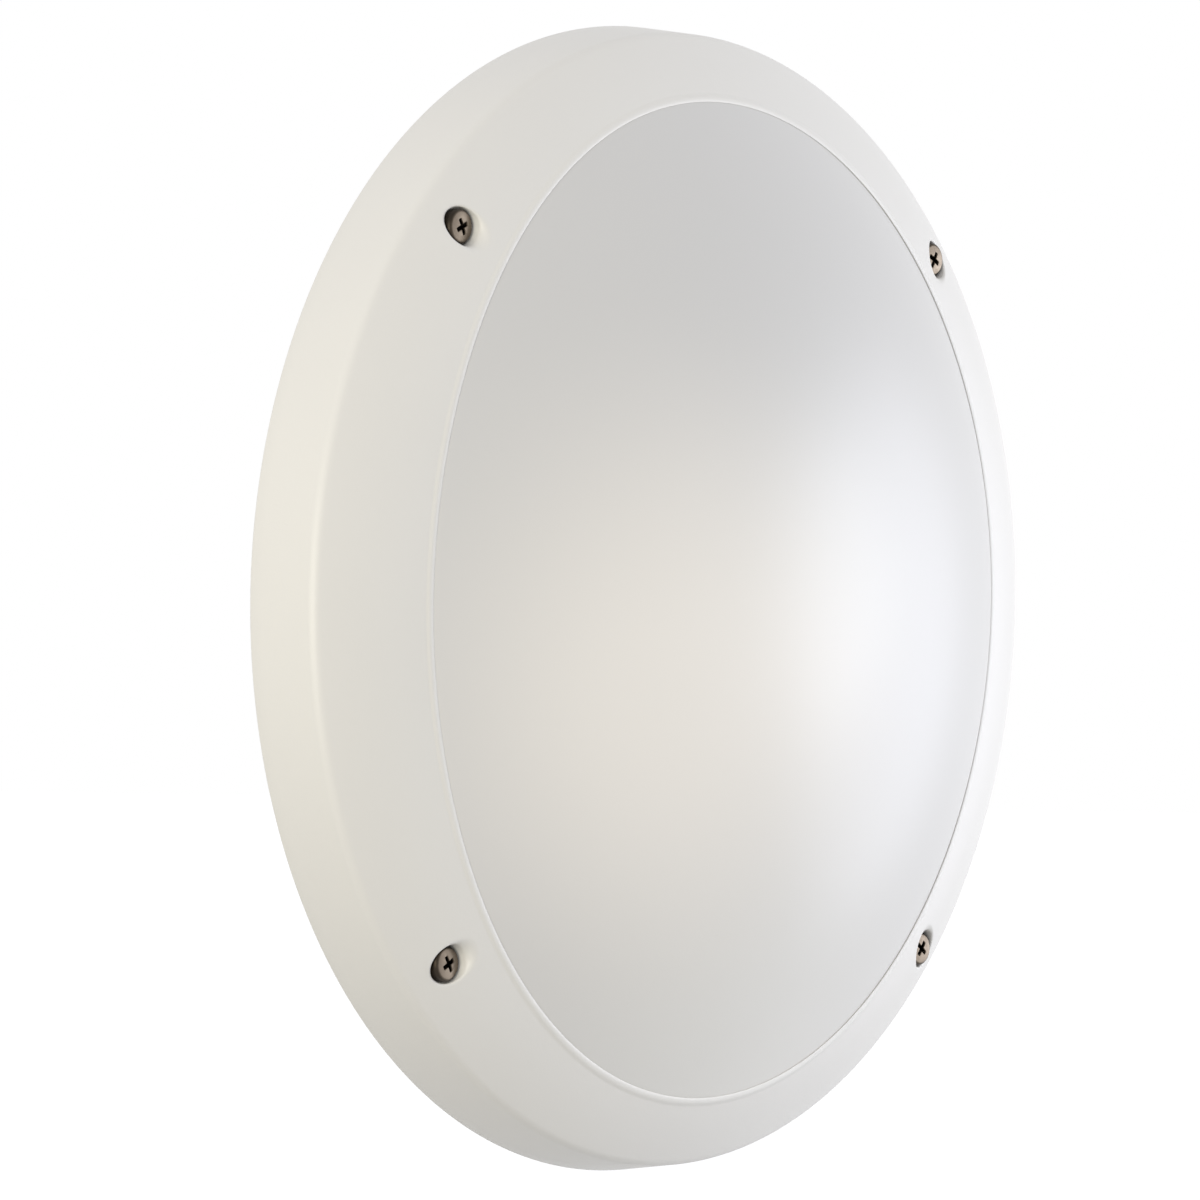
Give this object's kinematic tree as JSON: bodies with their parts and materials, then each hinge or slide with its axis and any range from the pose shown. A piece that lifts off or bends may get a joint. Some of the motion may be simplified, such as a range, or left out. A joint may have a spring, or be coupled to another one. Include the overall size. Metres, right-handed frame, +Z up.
{
  "type": "bulkhead light",
  "caption": "Round white wall or ceiling light: a moulded base, a crowned bezel held by pan-head screws, and an opal dome in an oval opening over a screw-cap lamp.",
  "frame": {"origin": "centre of the back face, on the wall", "axes": "+Y into the wall, so the front faces -Y; +Z up along the opening's longer axis; +X to the right of someone facing the light"},
  "size_m": [0.2998, 0.068, 0.2998],
  "materials": {
    "white_moulding": "satin off-white moulded resin",
    "opal_moulding": "satin opal, lets light through softly",
    "stainless_screw": "dull stainless, brownish",
    "zinc_steel": "bright zinc plate",
    "brass": "plain brass",
    "seal_rubber": "dull black rubber",
    "natural_nylon": "natural nylon",
    "holder_moulding": "dull white thermoset",
    "lamp_globe": "satin opal globe",
    "brown_lead": "brown insulated wire",
    "blue_lead": "blue insulated wire"
  },
  "bodies": {
    "root": {"base_housing": "white_moulding", "bezel": "white_moulding", "diffuser": "opal_moulding", "cover_gasket": "seal_rubber", "cover_screws": "stainless_screw", "fixing_seals": "seal_rubber", "cable_grommet": "seal_rubber", "cord_clamp": "natural_nylon", "clamp_screws": "zinc_steel", "terminal_block": "natural_nylon", "terminal_tubes": "brass", "terminal_screws": "zinc_steel", "block_screw": "zinc_steel", "holder_bracket": "zinc_steel", "bracket_screws": "zinc_steel", "holder_nut": "zinc_steel", "lampholder_body": "holder_moulding", "lampholder_shell": "brass", "lampholder_contact": "brass", "holder_screws": "zinc_steel", "lamp": "lamp_globe", "live_lead": "brown_lead", "neutral_lead": "blue_lead"}
  },
  "joints": []
}
